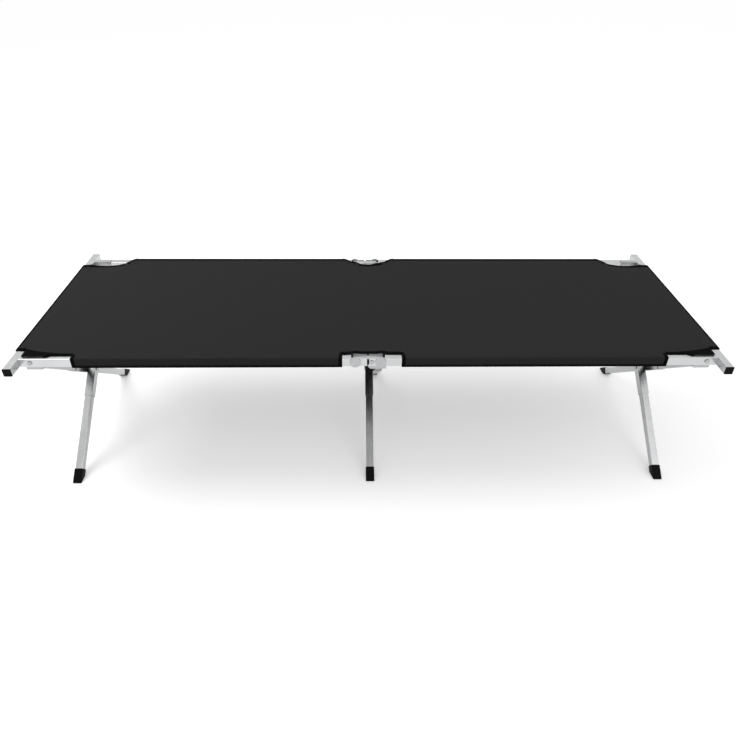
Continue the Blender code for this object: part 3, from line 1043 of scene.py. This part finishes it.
def makeEndSleeve(half):
    way = halfWay[half]
    profile = endProfile()
    lengths = runLengths(profile)
    grid, flat = [], []
    for y in spread(-tongueY, tongueY, endSleeve["columns"]):
        grid.append([(way * (endSleeveHigh.x - depth), y, z) for depth, z in profile])
        flat.append([(y, length) for length in lengths])
    cloth = clothSheet(f"{half}_end_sleeve_cloth", grid, flat, lambda p: (way * barX, p.y, railZ),
                       cover["thickness"], clothFinish)
    places = [(way * (endSleeveHigh.x - depth), z) for depth, z in profile]
    normals = [(nx, 0, nz) for nx, nz in profileNormals(places, (way * barX, railZ))]
    edging = tape(f"{half}_end_sleeve_binding", [
        (grid[0], normals, (0, 1, 0), binding["width"]),
        (grid[-1], normals, (0, -1, 0), binding["wide"]),
    ])
    return cloth, edging, makeEndShadeStrip(half, profile), (lengths[-1], 2 * tongueY)


# Stitches: one is modelled, then repeated along the row

stitch = {
    "length": 0.0026,
    "width": 0.0006,
    "height": 0.0005,
    "pitch": 0.0042,
    "seamDepth": 0.0265,
    "rowGap": 0.006,
    "shadeStripDown": 0.0015,
    "proud": 0.0005,
    "nearGap": 0.012,
    "farGap": 0.01,
}


def stitchRow(name, x, end, y, z, upright):
    bpy.ops.object.select_all(action="DESELECT")
    bpy.ops.mesh.primitive_uv_sphere_add(segments=6, ring_count=4, radius=0.5, location=(x, y, z),
                                         rotation=alongX)
    row = bpy.context.object
    row.name = name
    thick, wide = stitch["height"], stitch["width"]
    row.scale = (wide, thick, stitch["length"]) if upright else (thick, wide, stitch["length"])
    bpy.ops.object.transform_apply(location=True, rotation=True, scale=True)
    copies = row.modifiers.new("row", "ARRAY")
    copies.count = int(abs(end - x) / stitch["pitch"])
    copies.use_relative_offset = False
    copies.use_constant_offset = True
    copies.constant_offset_displace = (math.copysign(stitch["pitch"], end - x), 0, 0)
    bpy.ops.object.modifier_apply(modifier=copies.name)
    bpy.ops.object.shade_smooth()
    row.data.materials.append(threadFinish)
    return row


def sleeveStitches(side, half):
    # Two rows along the seam on top, and one on the outer face just under the top of the painted shade strip
    across, along = sideWay[side], halfWay[half]
    rows = []
    for depth in (stitch["seamDepth"], stitch["seamDepth"] - stitch["rowGap"]):
        rows.append((depth, across * (outerY - depth), coverTop, False))
    shadeStripStitchZ = coverBottom + sideSleeve["shadeStripHeight"] - stitch["shadeStripDown"]
    rows.append((0, across * (outerY + stitch["proud"]), shadeStripStitchZ, True))
    made = []
    for k, (depth, y, z, upright) in enumerate(rows):
        near, far = sleeveEnds(depth, side, False)
        start, end = along * (near + stitch["nearGap"]), along * (far - stitch["farGap"])
        made.append(stitchRow(f"{side}_{half}_stitches_{k + 1}", start, end, y, z, upright))
    return made


# The pieces are made, and each rides on the part of the frame that carries it

railBody = {(side, half): f"{side}_{half}_half" for side in sideWay for half in halfWay}


def carry(pieces, body):
    for piece in pieces:
        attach(piece, body)


def flatten(pieces):
    for piece in pieces:
        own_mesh(piece)


for half in halfWay:
    cloth, edging, area = makeDeck(half)
    corner = makeCornerShadeSheet(half)
    carry([corner, cloth, edging], railBody["front", half])
    flatten([cloth, edging])
    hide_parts(f"deck_{half}")
print("deck made")

for (side, half), body in railBody.items():
    cloth, edging, shadeStrips, (width, length, area) = makeSideSleeve(side, half)
    trims = [edging, *shadeStrips, *sleeveStitches(side, half)]
    carry([cloth, *trims], body)
    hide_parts(f"{side}_{half}_fabric_sleeve")
    min(area, width * length)
print("rail sleeves made")

for half in halfWay:
    cloth, edging, endShadeStrip, flat = makeEndSleeve(half)
    trims = [edging, endShadeStrip, makeEndFlap(half)]
    carry([cloth, *trims], f"{half}_bar")
    flatten([cloth, *trims])
    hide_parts(f"{half}_end_fabric_sleeve")
print("end sleeves made")


# Studio: a white floor and large soft lamps

studio = {
    "floorSize": 90.0,
    "floorShade": 0.80,
    "floorGlow": 0.27,
    "worldStrength": 0.72,
    "key": {"place": (-2.3, 0.4, 3.3), "size": 2.2, "power": 55.0},
    "fill": {"place": (1.6, -2.6, 3.0), "size": 2.4, "power": 20.0},
}


def makeFloor():
    bpy.ops.object.select_all(action="DESELECT")
    bpy.ops.mesh.primitive_plane_add(size=studio["floorSize"])
    floor = bpy.context.object
    floor.name = "floor"
    constants = {"Roughness": 0.9, "Specular IOR Level": 0.0, "Emission Strength": 1.0}
    material, tree, shader = newFinish("pale floor", constants)
    shown = shownRay(tree, "Is Glossy Ray")
    feed(tree, shader, {
        "Base Color": blendColour(tree, shown, (studio["floorShade"],) * 3, (1, 1, 1)),
        "Emission Color": blendColour(tree, shown, (0, 0, 0), (studio["floorGlow"],) * 3),
    })
    floor.data.materials.append(material)


def makeLamp(name, settings):
    bpy.ops.object.light_add(type="AREA", location=settings["place"])
    lamp = bpy.context.object
    lamp.name = name
    lamp.data.size = settings["size"]
    lamp.data.energy = settings["power"]
    lamp.rotation_euler = (-Vector(settings["place"])).to_track_quat("-Z", "Y").to_euler()


def makeWorld():
    world = bpy.data.worlds.new("studio")
    world.use_nodes = True
    tree = world.node_tree
    background = tree.nodes["Background"]
    background.inputs["Color"].default_value = (1, 1, 1, 1)
    shown = shownRay(tree, "Is Glossy Ray", "Is Transmission Ray")
    strength = studio["worldStrength"] + (1 - studio["worldStrength"]) * shown
    tree.links.new(strength.socket, background.inputs["Strength"])
    bpy.context.scene.world = world


makeFloor()
makeLamp("key lamp", studio["key"])
makeLamp("fill lamp", studio["fill"])
makeWorld()


# Camera, fitted to the corners of the end bars, legs and feet in the photograph

camera = {
    "pictureWidth": 736,
    "focalPixels": 629.41,
    "pitch": 0.61048,
    "yaw": -0.02551,
    "roll": 0.01151,
    "place": (-0.0458, -1.68048, 1.3912),
    "sensor": 36.0,
}


def makeCamera():
    bpy.ops.object.camera_add(location=camera["place"])
    eye = bpy.context.object
    eye.name = "photograph camera"
    eye.data.sensor_width = camera["sensor"]
    eye.data.lens = camera["focalPixels"] / camera["pictureWidth"] * camera["sensor"]
    eye.rotation_mode = "QUATERNION"
    yaw, pitch, roll = camera["yaw"], camera["pitch"], camera["roll"]
    ahead = Vector((-math.sin(yaw), math.cos(yaw), 0))
    side = Vector((math.cos(yaw), math.sin(yaw), 0))
    forward = ahead * math.cos(pitch) - Vector((0, 0, math.sin(pitch)))
    up = ahead * math.sin(pitch) + Vector((0, 0, math.cos(pitch)))
    turnedSide = side * math.cos(roll) + up * math.sin(roll)
    turnedUp = up * math.cos(roll) - side * math.sin(roll)
    turn = Matrix((turnedSide, turnedUp, -forward)).transposed()
    eye.rotation_quaternion = turn.to_quaternion()
    bpy.context.scene.camera = eye


makeCamera()
bpy.context.scene.view_settings.view_transform = "Standard"
print("studio ready")
